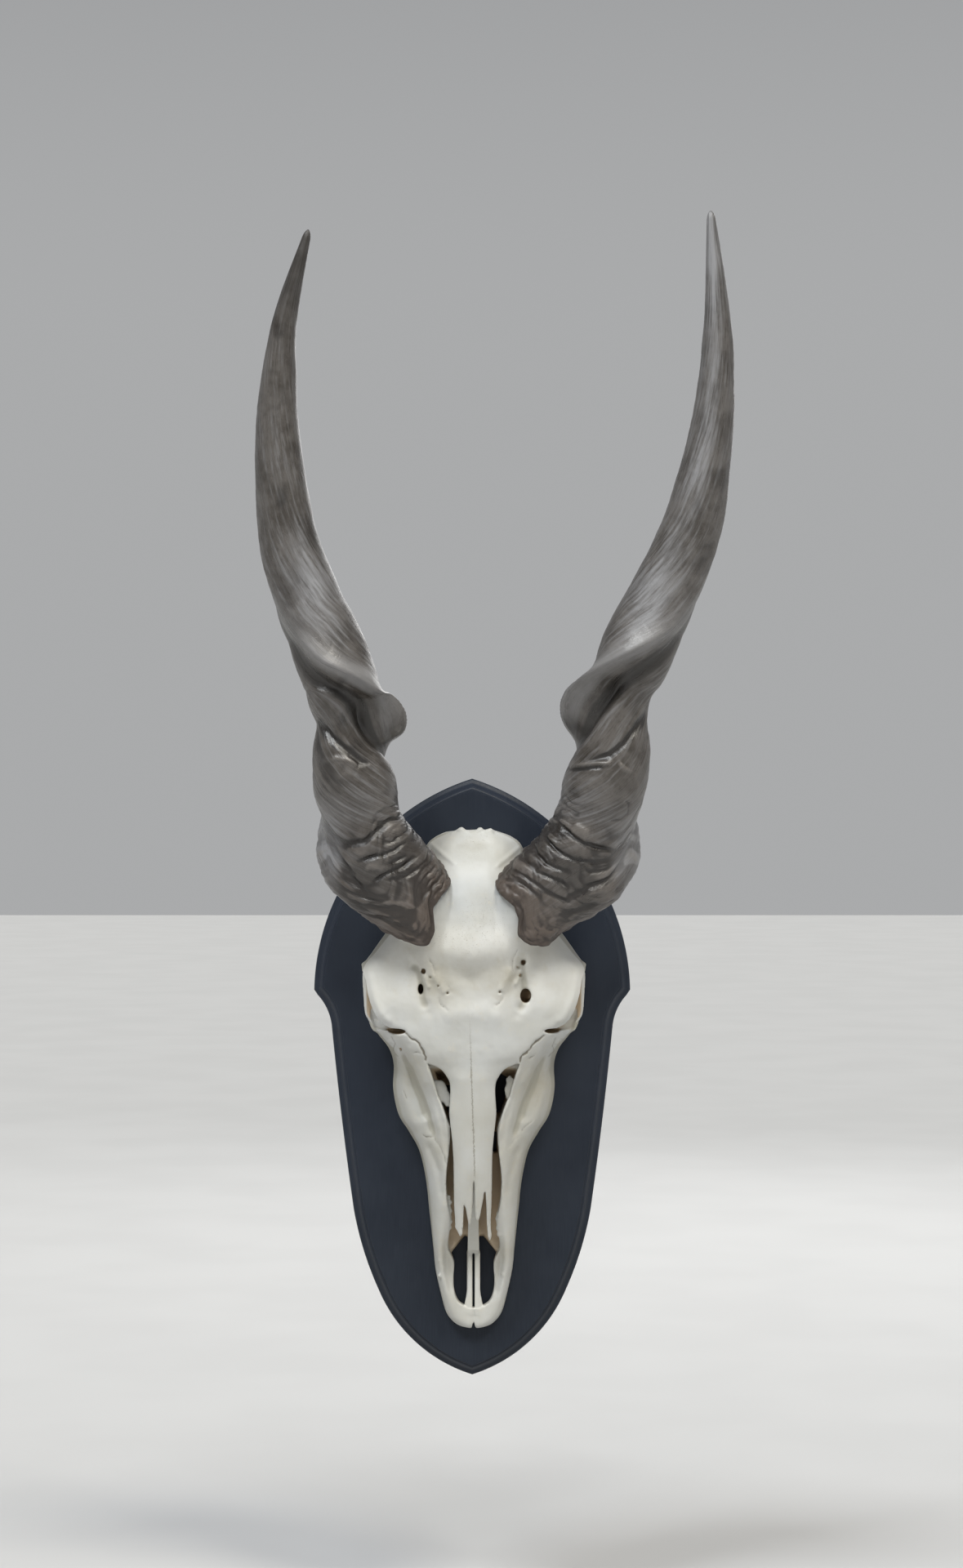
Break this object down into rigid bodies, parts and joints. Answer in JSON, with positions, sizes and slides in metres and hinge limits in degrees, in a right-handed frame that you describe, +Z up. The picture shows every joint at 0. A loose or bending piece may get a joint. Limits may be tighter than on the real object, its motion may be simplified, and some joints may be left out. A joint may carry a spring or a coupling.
{
  "type": "antelope skull mount",
  "caption": "Sawn antelope skull with long spiral-keeled horns, fixed to a shield-shaped moulded wall board with a keyhole hanger behind.",
  "frame": {"origin": "on the board's flat back face, on its centre line and half way up the board", "axes": "+Z up along the board towards the horn tips, +Y into the wall, +X to the viewer's right"},
  "size_m": [0.3844, 0.1745, 0.9578],
  "materials": {
    "painted_wood": "dark slate satin paint",
    "bone": "bleached bone, matt with a faint sheen",
    "horn": "dark grey-brown keratin, satin",
    "steel": "zinc-plated"
  },
  "bodies": {
    "root": {"backboard": "painted_wood", "skull": "bone", "horn_left": "horn", "horn_right": "horn", "skull_screw_upper": "steel", "skull_screw_lower": "steel", "hanger_plate": "steel", "hanger_screw_upper": "steel", "hanger_screw_lower": "steel"}
  },
  "joints": []
}
